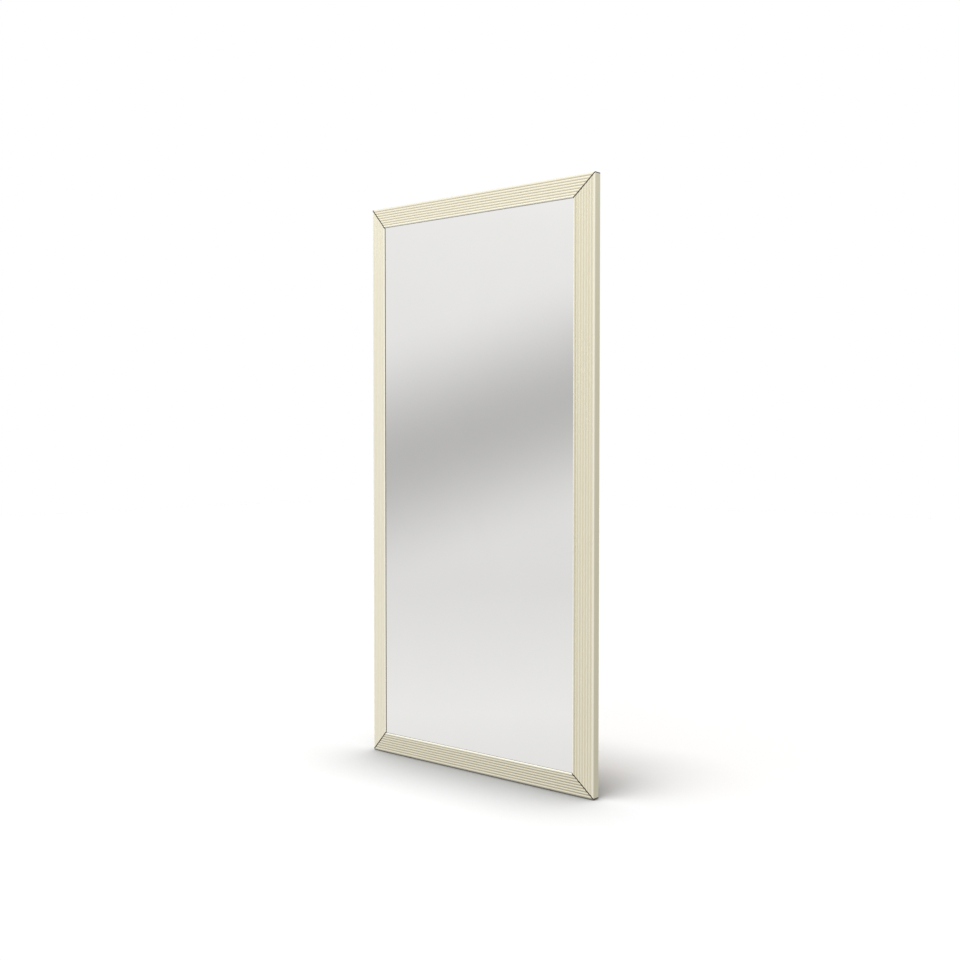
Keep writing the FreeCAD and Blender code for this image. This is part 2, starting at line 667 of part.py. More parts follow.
def make_cleats():
    """The cleat on the hanging batten, its screws, and the wall cleat that it hooks over."""
    lip_back = "frame_lip_front + cleat_thickness"
    flange_back = "batten_back + cleat_thickness"
    hook = [
        ("batten_back", "hook_level"),
        ("frame_lip_front", "hook_level"),
        ("frame_lip_front", "hook_level - hook_drop"),
        (lip_back, "hook_level - hook_drop"),
        (lip_back, "flange_low"),
        (flange_back, "flange_low"),
        (flange_back, "flange_low + cleat_flange"),
        ("batten_back", "flange_low + cleat_flange"),
    ]
    body = pad("frame_cleat_section", "YZ_Plane", "cleat_length", [hook], both_ways=True)
    spots = cleat_spots(flange_back)
    holes = [drill("cleat_flange_drill", "cleat_screw", "cleat_screw_length", *spot) for spot in spots]
    node("frame_cleat", cut("frame_cleat", body, holes))
    screws = [screw("cleat_screw", "cleat_screw", "cleat_screw_length", *spot) for spot in spots]
    node("frame_cleat_screws", group("cleat_screw_group", screws))

    low, high = "-wall_flange / 2", "wall_flange / 2"
    wall_lip_back = "wall_lip_front + cleat_thickness"
    catch = [
        ("-cleat_thickness", low),
        ("0", low),
        ("0", high),
        (wall_lip_back, high),
        (wall_lip_back, "hook_level"),
        ("wall_lip_front", "hook_level"),
        ("wall_lip_front", f"{high} - cleat_thickness"),
        ("-cleat_thickness", f"{high} - cleat_thickness"),
    ]
    body = pad("wall_cleat_section", "YZ_Plane", "cleat_length", [catch], both_ways=True)
    spacings = ("outer_hole_spacing", "inner_hole_spacing")
    places = [f"{sign} * {spacing} / 2" for spacing in spacings for sign in (-1, 1)]
    holes = [rod("wall_hole", "wall_hole_radius", "cleat_thickness", x, "0", "0") for x in places]
    node("wall_cleat", cut("wall_cleat", body, holes))


# Turn buttons


def button_screw_length():
    return "button_thickness + 2 * button_gap + rail_wall + screw_bite"


def button_level():
    """Y of the underside of the pivot screws' heads."""
    return "panel_back + 2 * button_gap + button_thickness"


def side_button_spots(sign):
    """Pivots spaced evenly along a stile's ledge."""
    number = count("side_button_count")
    step = f"(frame_height - 2 * side_button_margin) / {number - 1}"
    x = f"{sign} * (frame_side - pivot_inset)"
    return [(x, button_level(), f"frame_middle + {z}") for z in row_places(number, step)]


def bottom_button_spots():
    """Pivots along the bottom rail's ledge."""
    places = row_places(count("bottom_button_count"), "bottom_button_step")
    return [(x, button_level(), "frame_bottom + pivot_inset") for x in places]


def make_turn_buttons():
    """Flat buttons that reach over the back panel, each on its own pivot screw."""
    radius, reach = "button_radius", "button_reach"
    corners = [
        ("0", f"-{radius}"),
        (reach, f"-{radius}", radius),
        (f"{reach} + {radius}", "0", radius),
        (reach, radius),
        ("0", radius, radius),
        (f"-{radius}", "0", radius),
    ]
    pivot = [("button_screw_radius + thread_clear", "0", "0")]
    rows = {
        "left": (side_button_spots(-1), RIGHT),
        "right": (side_button_spots(1), -RIGHT),
        "bottom": (bottom_button_spots(), UP),
    }
    screws = []
    for row, (spots, pointing) in rows.items():
        for number, (x, y, z) in enumerate(spots, 1):
            name = f"{row}_turn_button_{number}"
            body = pad(name + "_body", "XY_Plane", "button_thickness", [corners], pivot)
            rotation = FreeCAD.Rotation(pointing, BACK.cross(pointing), BACK, "ZXY")
            place(body, x, "panel_back + button_gap", z, rotation)
            node(name, body)
            screws.append(screw(f"{name}_screw", "button_screw", button_screw_length(), x, y, z))
    node("turn_button_screws", group("button_screw_group", screws))


# Bumpers and feet


def make_bumpers():
    """A soft disc near each corner, between the frame's back and the wall."""
    discs = []
    for corner in CORNERS:
        x, z = corner_spot(corner, "rail_middle", "bumper_margin")
        discs.append(rod("bumper", "bumper_radius", "bumper_thickness", x, "0", z))
    node("wall_bumpers", group("bumpers", discs))


def make_feet():
    """Two levelling feet under the bottom rail: a stem in a pad, screwed into an insert in the rail."""
    inserts = []
    for name, sign in (("left", -1), ("right", 1)):
        x, y = f"{sign} * foot_side", "foot_depth"
        mouth, inside = (x, y, "frame_bottom"), (x, y, "frame_bottom + rail_wall")
        sleeve = rod(f"{name}_sleeve", "insert_radius", "insert_length", *mouth, UPWARD)
        collar = rod(f"{name}_collar", "collar_radius", "collar_length", *inside, UPWARD)
        bore = rod(f"{name}_bore", "stem_radius + thread_clear", "insert_length", *mouth, UPWARD)
        inserts.append(cut(f"{name}_insert", fuse(f"{name}_insert_blank", [sleeve, collar]), [bore]))

        disc = rod(f"{name}_disc", "pad_radius", "pad_height - pad_bevel", x, y, "foot_bottom", UPWARD)
        bevel = doc.addObject("Part::Cone", f"{name}_bevel")
        bevel.setExpression("Radius1", bound("pad_radius"))
        bevel.setExpression("Radius2", bound("pad_radius - pad_bevel"))
        bevel.setExpression("Height", bound("pad_bevel"))
        place(bevel, x, y, "foot_top - pad_bevel")
        seat = rod(f"{name}_seat", "stem_radius", "stem_seat", x, y, "foot_top - stem_seat", UPWARD)
        node(f"{name}_foot_pad", cut(f"{name}_pad", fuse(f"{name}_pad_blank", [disc, bevel]), [seat]))
        stem = rod(f"{name}_stem", "stem_radius", "stem_length", x, y, "foot_top - stem_seat", UPWARD)
        node(f"{name}_foot_stem", stem)
    node("foot_inserts", group("inserts", inserts))


# Tests and files


def check():
    """Stop if any object failed, or if any piece is empty or broken."""
    doc.recompute()
    for item in doc.Objects:
        if any(state in item.State for state in ("Invalid", "Error")):
            raise RuntimeError(f"{item.Label} failed: {item.State}")
    for item in nodes:
        if item.Shape.isNull() or not item.Shape.isValid() or not item.Shape.Solids:
            raise RuntimeError(f"{item.Label} has no sound shape")


def write():
    """Write each piece to a file of its own."""
    os.makedirs("parts", exist_ok=True)
    for item in nodes:
        item.Shape.exportStep(f"parts/{item.Label}.step")
        print(f"{item.Label}: {len(item.Shape.Solids)} solids, {item.Shape.Volume / 1000:.2f} cubic cm")


fill_sheet()
make_frame()
make_mitre_plates()
make_corner_keys()
make_glass()
make_battens()
make_cleats()
make_turn_buttons()
make_bumpers()
make_feet()
check()
write()
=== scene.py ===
# %% [markdown]
# A full-length mirror in a reeded frame
#
# The mirror stands as tall as a door. Its frame is made of four lengths of hollow aluminium,
# pushed through a die that leaves eight round reeds along the front, cut at 45 degrees and joined
# with a dark plate in each corner. The frame, the glass, the board behind it and the hanging
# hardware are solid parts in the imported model. This lesson gives each of them a finish, makes
# softer twins of the small pieces at the back, and sets up light and camera.

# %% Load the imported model
import json
import math

import bmesh
import bpy
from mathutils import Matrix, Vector

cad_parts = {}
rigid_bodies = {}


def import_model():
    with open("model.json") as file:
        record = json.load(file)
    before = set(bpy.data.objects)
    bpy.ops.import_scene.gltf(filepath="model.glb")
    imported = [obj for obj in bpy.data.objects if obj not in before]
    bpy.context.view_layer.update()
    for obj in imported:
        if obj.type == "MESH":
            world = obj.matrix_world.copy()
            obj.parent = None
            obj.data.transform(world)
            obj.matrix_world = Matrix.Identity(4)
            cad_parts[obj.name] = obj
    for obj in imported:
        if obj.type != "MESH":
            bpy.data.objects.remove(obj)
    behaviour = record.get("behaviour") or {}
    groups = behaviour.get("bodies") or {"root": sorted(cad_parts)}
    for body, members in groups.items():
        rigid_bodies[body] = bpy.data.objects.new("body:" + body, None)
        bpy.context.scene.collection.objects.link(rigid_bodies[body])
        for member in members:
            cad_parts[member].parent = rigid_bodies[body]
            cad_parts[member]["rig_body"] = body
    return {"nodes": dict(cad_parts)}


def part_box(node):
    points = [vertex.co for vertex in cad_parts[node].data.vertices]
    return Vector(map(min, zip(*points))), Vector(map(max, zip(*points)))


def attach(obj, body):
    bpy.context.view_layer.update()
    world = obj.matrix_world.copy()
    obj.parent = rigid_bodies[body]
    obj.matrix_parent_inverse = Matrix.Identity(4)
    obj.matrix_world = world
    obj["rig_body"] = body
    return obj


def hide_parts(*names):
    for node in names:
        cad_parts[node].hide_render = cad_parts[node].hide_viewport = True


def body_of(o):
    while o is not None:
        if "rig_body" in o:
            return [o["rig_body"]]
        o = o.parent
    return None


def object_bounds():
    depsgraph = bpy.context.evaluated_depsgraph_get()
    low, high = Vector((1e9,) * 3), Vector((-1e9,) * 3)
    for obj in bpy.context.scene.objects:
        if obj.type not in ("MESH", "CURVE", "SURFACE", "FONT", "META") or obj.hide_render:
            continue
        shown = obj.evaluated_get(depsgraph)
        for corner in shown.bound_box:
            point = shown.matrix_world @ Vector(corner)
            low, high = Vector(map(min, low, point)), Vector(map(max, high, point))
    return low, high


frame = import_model()
nodes = frame["nodes"]
cad_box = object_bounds()

# %% [markdown]
# Colours and lengths
#
# Colours are easiest to pick as hex values, the way a paint card gives them. Blender's shaders
# work with linear light, so one function turns a hex value into linear numbers. Lengths are
# thought of in millimetres, and the scene is in metres.

# %% Units and colours
MM = 0.001


def linear(hex_value):
    """An sRGB hex value as linear red, green, blue and alpha, by the sRGB standard's own curve."""
    channels = [int(hex_value[place:place + 2], 16) / 255 for place in (1, 3, 5)]
    return [c / 12.92 if c <= 0.04045 else ((c + 0.055) / 1.055) ** 2.4 for c in channels] + [1.0]


print("a mid grey in linear light:", [round(c, 3) for c in linear("#808080")])

# %% [markdown]
# Building with nodes
#
# Every finish is a small network of nodes. Making one by hand takes three steps each time: add a
# node, set its options, and join its inputs. One function does all three, so that a finish reads
# as a list of what feeds what. Patterns are laid out in object coordinates. The parts were drawn
# in place, so these are plain metres in the room, and a pattern's scale is one over a real size.

# %% Node helpers
def add(tree, kind, inputs=None, **settings):
    """Add a node. An input is a plain value, or the output socket of a node made before."""
    made = tree.nodes.new(kind)
    for name, setting in settings.items():
        setattr(made, name, setting)
    for name, given in (inputs or {}).items():
        if isinstance(given, bpy.types.NodeSocket):
            tree.links.new(given, made.inputs[name])
        else:
            made.inputs[name].default_value = given
    return made


def start_material(name):
    """A new material with an empty node tree, and the coordinates that its patterns use."""
    made = bpy.data.materials.new(name)
    made.use_nodes = True
    made.node_tree.nodes.clear()
    return made, made.node_tree, add(made.node_tree, "ShaderNodeTexCoord").outputs


def per_metre(size_mm):
    """A texture scale whose features are about this size."""
    return 1 / (size_mm * MM)


def dress(material, *names):
    """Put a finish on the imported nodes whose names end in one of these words."""
    dressed = [name for name in nodes if name.endswith(names)]
    for name in dressed:
        nodes[name].material_slots[0].material = material
    print(material.name, "on", ", ".join(dressed))


# %% [markdown]
# Champagne anodised aluminium: the rails
#
# The rails are extruded: hot metal is pushed through a steel die, and small marks in the die draw
# faint streaks along the whole length. Only the front is then polished. Anodising leaves a satin
# skin that takes a pale gold dye, a little yellower on the sides and back. Over that, the bead
# beside the glass is painted paler, a painted highlight, and the grooves between the reeds are
# painted darker, a painted shade; the grooves are also a little rougher, where the polishing wheel
# doesn't reach. The eye gets a soft, wide shine that changes slowly along the rail and quickly
# across it. The streaks are a noise texture stretched along the rail. The grooves lie at equal
# steps from the outer edge, so the distance to the nearest one is plain arithmetic: Ping-pong
# folds the distance from the edge into a zigzag. Stiles and rails run different ways, so one function makes
# either.

# %% Distance from the frame's edge
frame_low = Vector(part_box("bottom_rail")[0])
frame_high = Vector(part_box("top_rail")[1])
frame_middle = (frame_low + frame_high) / 2
frame_half = (frame_high - frame_low) / 2


def inset_from_edge(tree, place, across):
    """How far a point lies inside the frame's outer edge, measured along one axis."""
    axis = "XYZ".index(across)
    spot = add(tree, "ShaderNodeSeparateXYZ", {"Vector": place["Object"]})
    off_middle = add(tree, "ShaderNodeMath", {
        0: spot.outputs[across], 1: frame_middle[axis],
    }, operation="SUBTRACT")
    reach = add(tree, "ShaderNodeMath", {0: off_middle.outputs[0]}, operation="ABSOLUTE")
    inset = add(tree, "ShaderNodeMath", {0: frame_half[axis], 1: reach.outputs[0]}, operation="SUBTRACT")
    return inset.outputs[0]


print("the frame's sides in mm:", [round(2 * half / MM) for half in frame_half])

# %% Grooves between the reeds
REED_COUNT = 8
RAIL_WIDTH = 75 * MM
REED_PITCH = RAIL_WIDTH / REED_COUNT
GROOVE_REACH = 2.6 * MM  # how far the painted groove shade goes up each side of a groove


def painted_groove_shade(tree, inset, front):
    """Painted shade: one at the bottom of a groove, falling to nothing up the sides of the two reeds."""
    zigzag = add(tree, "ShaderNodeMath", {0: inset, 1: REED_PITCH / 2}, operation="PINGPONG")
    groove = add(tree, "ShaderNodeMapRange", {
        "Value": zigzag.outputs[0], "From Max": GROOVE_REACH, "To Min": 1.0, "To Max": 0.0,
    }, interpolation_type="SMOOTHSTEP")
    # Only the front has grooves, and there is none along its two edges.
    past_edge = add(tree, "ShaderNodeMath", {0: inset, 1: REED_PITCH / 2}, operation="GREATER_THAN")
    before_lip = add(tree, "ShaderNodeMath", {
        0: inset, 1: RAIL_WIDTH - REED_PITCH / 2,
    }, operation="LESS_THAN")
    share = groove.outputs["Result"]
    for mask in (front, past_edge.outputs[0], before_lip.outputs[0]):
        share = add(tree, "ShaderNodeMath", {0: share, 1: mask}, operation="MULTIPLY").outputs[0]
    return share


print("reeds of", round(REED_PITCH / MM, 2), "mm")

# %% Anodised aluminium
STREAK_WIDTH = 4  # the real streaks are under 1 mm, drawn coarser so that they show
STREAK_LENGTH = 900
STREAK_RELIEF = {"Strength": 0.05, "Distance": 0.02 * MM}
FRONT_NORMAL = -0.05  # on the front, a normal's Y is lower than this
BEAD_REACH = 6 * MM  # the bead's painted highlight is full from here to its inner edge
SATIN_ROUGHNESS = (0.32, 0.40)
GROOVE_DULLING = 0.08  # what a groove adds to the roughness
DYED_TONES = ("#F3EED9", "#F8F3E1")
BEAD_HIGHLIGHT_TONE = "#FFFCEC"
SIDE_TONE = "#FAF4D8"
GROOVE_SHADE_TONE = "#DCD3B4"


def anodised_aluminium(name, across, along):
    """Satin champagne aluminium on a rail, whose width and length run along these two axes."""
    made, tree, place = start_material(name)
    squeeze = [per_metre(STREAK_WIDTH)] * 3
    squeeze["XYZ".index(along)] = per_metre(STREAK_LENGTH)
    spread = add(tree, "ShaderNodeMapping", {"Vector": place["Object"], "Scale": squeeze})
    streaks = add(tree, "ShaderNodeTexNoise", {
        "Vector": spread.outputs["Vector"], "Scale": 1.0, "Detail": 2.0,
    }).outputs["Fac"]

    way = add(tree, "ShaderNodeSeparateXYZ", {"Vector": place["Normal"]})
    front = add(tree, "ShaderNodeMath", {
        0: way.outputs["Y"], 1: FRONT_NORMAL,
    }, operation="LESS_THAN").outputs[0]
    inset = inset_from_edge(tree, place, across)
    # painted shade: the grooves between the reeds are drawn darker, where shade falls between them
    groove_shade = painted_groove_shade(tree, inset, front)
    # painted highlight: the bead beside the glass is drawn paler, where light from above catches it
    bead_highlight = add(tree, "ShaderNodeMapRange", {
        "Value": inset, "From Min": RAIL_WIDTH - REED_PITCH, "From Max": RAIL_WIDTH - BEAD_REACH,
    }, interpolation_type="SMOOTHSTEP")

    # Each tone lies over the ones before it: the streaks, the painted highlight on the bead,
    # the sides and back, the painted shade in the grooves.
    dyed = add(tree, "ShaderNodeMix", {
        "Factor": streaks, "A": linear(DYED_TONES[0]), "B": linear(DYED_TONES[1]),
    }, data_type="RGBA")
    paler = add(tree, "ShaderNodeMix", {
        "Factor": bead_highlight.outputs["Result"], "A": dyed.outputs["Result"], "B": linear(BEAD_HIGHLIGHT_TONE),
    }, data_type="RGBA")
    polish_and_highlight = add(tree, "ShaderNodeMix", {
        "Factor": front, "A": linear(SIDE_TONE), "B": paler.outputs["Result"],
    }, data_type="RGBA")
    tone = add(tree, "ShaderNodeMix", {
        "Factor": groove_shade, "A": polish_and_highlight.outputs["Result"], "B": linear(GROOVE_SHADE_TONE),
    }, data_type="RGBA")
    satin = add(tree, "ShaderNodeMapRange", {
        "Value": streaks, "To Min": SATIN_ROUGHNESS[0], "To Max": SATIN_ROUGHNESS[1],
    })
    gloss = add(tree, "ShaderNodeMath", {
        0: groove_shade, 1: GROOVE_DULLING, 2: satin.outputs["Result"],
    }, operation="MULTIPLY_ADD")
    relief = add(tree, "ShaderNodeBump", {"Height": streaks, **STREAK_RELIEF})
    shader = add(tree, "ShaderNodeBsdfPrincipled", {
        "Base Color": tone.outputs["Result"], "Metallic": 1.0,
        "Roughness": gloss.outputs[0], "Normal": relief.outputs["Normal"],
    })
    add(tree, "ShaderNodeOutputMaterial", {"Surface": shader.outputs["BSDF"]})
    return made


dress(anodised_aluminium("champagne anodised aluminium upright", "X", "Z"), "_stile")
dress(anodised_aluminium("champagne anodised aluminium across", "Z", "X"), "_rail")

# %% [markdown]
# Blackened brass: the mitre plates
#
# A plate of brass fills each mitre. It is blackened in a bath of acid and rubbed back with wax,
# which leaves a dark brown skin with a cloudy patina. The eye gets a nearly black line that is
# never quite even. Several sizes of noise, laid over each other by the texture's own detail, mix
# two browns and vary the shine. Many finishes are made in this way, from spots of some size
# between two tones, so one function makes them all. It also takes a relief, for skins that
# aren't smooth, and the values that are the same all over the surface.

# %% Mottled finishes
def mottled(name, spot_size, tones, roughness, surface, detail=2.0, relief=None):
    """A finish of soft spots, of a size in millimetres, that mix two tones and vary the shine."""
    made, tree, place = start_material(name)
    spots = add(tree, "ShaderNodeTexNoise", {
        "Vector": place["Object"], "Scale": per_metre(spot_size), "Detail": detail,
    }).outputs["Fac"]
    tone = add(tree, "ShaderNodeMix", {
        "Factor": spots, "A": linear(tones[0]), "B": linear(tones[1]),
    }, data_type="RGBA")
    gloss = add(tree, "ShaderNodeMapRange", {
        "Value": spots, "To Min": roughness[0], "To Max": roughness[1],
    })
    sockets = {"Base Color": tone.outputs["Result"], "Roughness": gloss.outputs["Result"], **surface}
    if relief:
        sockets["Normal"] = add(tree, "ShaderNodeBump", {"Height": spots, **relief}).outputs["Normal"]
    shader = add(tree, "ShaderNodeBsdfPrincipled", sockets)
    add(tree, "ShaderNodeOutputMaterial", {"Surface": shader.outputs["BSDF"]})
    return made


# %% Blackened brass
METAL = {"Metallic": 1.0}
PATINA_CLOUD = 9

brass = mottled(
    "blackened brass", PATINA_CLOUD, tones=("#1A140D", "#3A2E1F"), roughness=(0.38, 0.62),
    surface=METAL, detail=4.0,
)
dress(brass, "_mitre_plate")

# %% [markdown]
# Silvered float glass: the mirror
#
# Float glass is cast on molten tin, so its face is flat, and the silver behind it gives back nine
# tenths of the light. Clear glass over a mirror could be two layers in Blender. One metallic
# surface shows the same picture, with less noise, and any program can read it. What makes it
# glass and not chrome is very small: a trace of haze where a cloth went over it.

# %% Silvered float glass
HAZE_SIZE = 240
HAZE_START = 0.45  # the haze comes in above this level of the noise
HAZE_FULL = 0.8
HAZE_ROUGHNESS = 0.02

glass, tree, place = start_material("silvered float glass")
wiped = add(tree, "ShaderNodeTexNoise", {
    "Vector": place["Object"], "Scale": per_metre(HAZE_SIZE), "Detail": 3.0, "Distortion": 0.6,
}).outputs["Fac"]
tone = add(tree, "ShaderNodeMix", {
    "Factor": wiped, "A": linear("#F5F4F2"), "B": linear("#F8F7F5"),
}, data_type="RGBA")
haze = add(tree, "ShaderNodeMapRange", {
    "Value": wiped, "From Min": HAZE_START, "From Max": HAZE_FULL, "To Min": 0.0, "To Max": HAZE_ROUGHNESS,
})
shader = add(tree, "ShaderNodeBsdfPrincipled", {
    "Base Color": tone.outputs["Result"], "Metallic": 1.0, "Roughness": haze.outputs["Result"],
})
add(tree, "ShaderNodeOutputMaterial", {"Surface": shader.outputs["BSDF"]})
dress(glass, "mirror_glass")

# %% [markdown]
# Extruded rubber: the cushion strip and the setting blocks
#
# The glass never touches metal. A strip of black rubber lies between it and the lip, and blocks
# of the same rubber hold its edges. Extruded rubber has a matt skin with a fine grain and a grey
# bloom. The eye gets a dark line round the glass that hardly shines.

# %% Extruded rubber
RUBBER_GRAIN = 1.5  # the real grain is about 0.3 mm, drawn coarser so that it shows

rubber = mottled(
    "extruded black rubber", RUBBER_GRAIN, tones=("#121213", "#232324"), roughness=(0.7, 0.9),
    surface={"IOR": 1.52}, relief={"Strength": 0.3, "Distance": 0.1 * MM},
)
dress(rubber, "cushion_strip", "setting_blocks")

# %% [markdown]
# Hardboard: the back panel
#
# The panel behind the glass is wood fibre pressed hot under a smooth plate. Its face is an even
# light brown, with clouds where the fibre lay thicker and short dark flecks of bark. The clouds
# are a soft noise. The flecks are the cells of a Voronoi pattern, of which only the middles show,
# and only in some cells, picked by the cell's own random colour. A fine noise pushes the pattern
# about, so that the flecks come out ragged and not round.

# %% Flecks of bark
FLECK_STEP = 7
FLECK_SIZE = 0.16  # as a share of the step
FLECK_RAG = 3
FLECK_PUSH = 7 * MM
PLAIN_CELLS = 0.7  # the share of cells without a fleck

hardboard, tree, place = start_material("pressed hardboard")
rag = add(tree, "ShaderNodeTexNoise", {"Vector": place["Object"], "Scale": per_metre(FLECK_RAG)})
pushed = add(tree, "ShaderNodeVectorMath", {
    0: rag.outputs["Color"], 1: [FLECK_PUSH] * 3, 2: place["Object"],
}, operation="MULTIPLY_ADD")
flecks = add(tree, "ShaderNodeTexVoronoi", {
    "Vector": pushed.outputs["Vector"], "Scale": per_metre(FLECK_STEP),
})
middles = add(tree, "ShaderNodeMath", {
    0: flecks.outputs["Distance"], 1: FLECK_SIZE,
}, operation="LESS_THAN")
chance = add(tree, "ShaderNodeSeparateColor", {"Color": flecks.outputs["Color"]})
picked = add(tree, "ShaderNodeMath", {
    0: chance.outputs["Red"], 1: PLAIN_CELLS,
}, operation="GREATER_THAN")
bark = add(tree, "ShaderNodeMath", {0: middles.outputs[0], 1: picked.outputs[0]}, operation="MULTIPLY")
print("flecks about", round(2 * FLECK_SIZE * FLECK_STEP, 1), "mm wide")

# %% Pressed hardboard
FIBRE_CLOUD = 45
BOARD_ROUGHNESS = (0.55, 0.75)
BOARD_RELIEF = {"Strength": 0.1, "Distance": 0.2 * MM}

clouds = add(tree, "ShaderNodeTexNoise", {
    "Vector": place["Object"], "Scale": per_metre(FIBRE_CLOUD), "Detail": 5.0, "Roughness": 0.6,
}).outputs["Fac"]
board = add(tree, "ShaderNodeMix", {
    "Factor": clouds, "A": linear("#9C7550"), "B": linear("#C49D74"),
}, data_type="RGBA")
tone = add(tree, "ShaderNodeMix", {
    "Factor": bark.outputs[0], "A": board.outputs["Result"], "B": linear("#6B4A30"),
}, data_type="RGBA")
gloss = add(tree, "ShaderNodeMapRange", {
    "Value": clouds, "To Min": BOARD_ROUGHNESS[0], "To Max": BOARD_ROUGHNESS[1],
})
relief = add(tree, "ShaderNodeBump", {"Height": clouds, **BOARD_RELIEF})
shader = add(tree, "ShaderNodeBsdfPrincipled", {
    "Base Color": tone.outputs["Result"], "Roughness": gloss.outputs["Result"],
    "IOR": 1.5, "Normal": relief.outputs["Normal"],
})
add(tree, "ShaderNodeOutputMaterial", {"Surface": shader.outputs["BSDF"]})
dress(hardboard, "back_panel")

# %% [markdown]
# Planed pine: the battens
#
# Three battens of pine stiffen the back. A planed board shows its yearly rings as long bands,
# pale where the tree grew fast in spring and amber where it grew slowly, with a brown knot where
# a branch began. The bands come from a wave texture across the board. Its input is pushed aside
# by a slow noise, so that the bands wander, and by each knot, so that they part round it. A knot
# is the middle of a cell in a Voronoi pattern.

# %% Knots in the pine
KNOT_STEP = 260
KNOT_SIZE = 0.055  # as a share of the step
KNOT_EDGE = KNOT_SIZE * 1.4  # a knot has faded out here
PARTING_REACH = KNOT_SIZE * 4  # the bands part from here to the knot's middle
PARTING_PUSH = 14 * MM

pine, tree, place = start_material("planed pine")
spots = add(tree, "ShaderNodeTexVoronoi", {
    "Vector": place["Object"], "Scale": per_metre(KNOT_STEP),
}).outputs["Distance"]
knot = add(tree, "ShaderNodeMapRange", {
    "Value": spots, "From Min": KNOT_SIZE, "From Max": KNOT_EDGE, "To Min": 1.0, "To Max": 0.0,
}, interpolation_type="SMOOTHSTEP")
parting = add(tree, "ShaderNodeMapRange", {
    "Value": spots, "From Min": 0.0, "From Max": PARTING_REACH, "To Min": PARTING_PUSH, "To Max": 0.0,
}, interpolation_type="SMOOTHSTEP")
print("knots up to", round(2 * KNOT_SIZE * KNOT_STEP), "mm wide")

# %% Yearly rings
RING_WIDTH = 9
RING_CONTRAST = 2.2  # keeps the amber to the last part of a year's growth
WAVE_STEP = 2 * math.pi / 20  # a wave texture of scale 1 repeats at this length
WANDER_LENGTH = 700
WANDER_WIDTH = 90
WANDER_PUSH = 60 * MM

slow = add(tree, "ShaderNodeMapping", {
    "Vector": place["Object"],
    "Scale": (per_metre(WANDER_LENGTH), per_metre(WANDER_WIDTH), per_metre(WANDER_WIDTH)),
})
wander = add(tree, "ShaderNodeTexNoise", {"Vector": slow.outputs["Vector"], "Scale": 1.0, "Detail": 1.0})
sway = add(tree, "ShaderNodeMath", {
    0: wander.outputs["Fac"], 1: WANDER_PUSH, 2: parting.outputs["Result"],
}, operation="MULTIPLY_ADD")
lift = add(tree, "ShaderNodeCombineXYZ", {"Z": sway.outputs[0]})
moved = add(tree, "ShaderNodeVectorMath", {0: place["Object"], 1: lift.outputs["Vector"]}, operation="ADD")
rings = add(tree, "ShaderNodeTexWave", {
    "Vector": moved.outputs["Vector"], "Scale": per_metre(RING_WIDTH) * WAVE_STEP, "Distortion": 0.0,
}, wave_type="BANDS", bands_direction="Z", wave_profile="SAW")
late = add(tree, "ShaderNodeMath", {0: rings.outputs["Fac"], 1: RING_CONTRAST}, operation="POWER")
print("a ring every", RING_WIDTH, "mm")

# %% Planed pine
FIBRE_WIDTH = 2.5  # the real fibres are about 0.5 mm, drawn coarser so that they show
FIBRE_LENGTH = 260
PINE_ROUGHNESS = (0.5, 0.7)
PINE_RELIEF = {"Strength": 0.2, "Distance": 0.15 * MM}

long_way = add(tree, "ShaderNodeMapping", {
    "Vector": place["Object"],
    "Scale": (per_metre(FIBRE_LENGTH), per_metre(FIBRE_WIDTH), per_metre(FIBRE_WIDTH)),
})
fibres = add(tree, "ShaderNodeTexNoise", {
    "Vector": long_way.outputs["Vector"], "Scale": 1.0, "Detail": 3.0,
}).outputs["Fac"]
spring = add(tree, "ShaderNodeMix", {
    "Factor": fibres, "A": linear("#E6CB9B"), "B": linear("#F0DDB6"),
}, data_type="RGBA")
banded = add(tree, "ShaderNodeMix", {
    "Factor": late.outputs[0], "A": spring.outputs["Result"], "B": linear("#C99A5E"),
}, data_type="RGBA")
tone = add(tree, "ShaderNodeMix", {
    "Factor": knot.outputs["Result"], "A": banded.outputs["Result"], "B": linear("#7A4A26"),
}, data_type="RGBA")
gloss = add(tree, "ShaderNodeMapRange", {
    "Value": fibres, "To Min": PINE_ROUGHNESS[0], "To Max": PINE_ROUGHNESS[1],
})
relief = add(tree, "ShaderNodeBump", {"Height": fibres, **PINE_RELIEF})
shader = add(tree, "ShaderNodeBsdfPrincipled", {
    "Base Color": tone.outputs["Result"], "Roughness": gloss.outputs["Result"],
    "IOR": 1.5, "Normal": relief.outputs["Normal"],
})
add(tree, "ShaderNodeOutputMaterial", {"Surface": shader.outputs["BSDF"]})
print(pine.name, "with", len(tree.nodes), "nodes")

# %% [markdown]
# Battens with eased edges
#
# Nobody leaves sharp edges on a planed batten, because they splinter: a few strokes with sandpaper
# ease them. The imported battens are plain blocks, so each gets a twin in the same place. Blender
# has a bevel tool for that. A plainer way is to give a shape as rings of corners, with a skin of
# faces from each ring to the next, and that one idea also makes the screws, bumpers and turn
# buttons further on. A ring here is a rectangle with round corners, drawn in a little at the ends.

# %% Rings and skins
CRISP_TURN = math.radians(35)  # an edge that turns by more than this isn't shaded smooth


def skin(rings, looped=False):
    """Corners and faces that join rings in turn. The two ends are closed, or joined to each other."""
    size = len(rings[0])
    corners = [corner for ring in rings for corner in ring]
    faces = []
    for start in range(0, len(corners) if looped else len(corners) - size, size):
        for step in range(size):
            side = (start + step, start + (step + 1) % size)
            faces.append(side + tuple((corner + size) % len(corners) for corner in reversed(side)))
    if not looped:
        faces.append(range(size))
        faces.append(range(len(corners) - size, len(corners)))
    return corners, faces


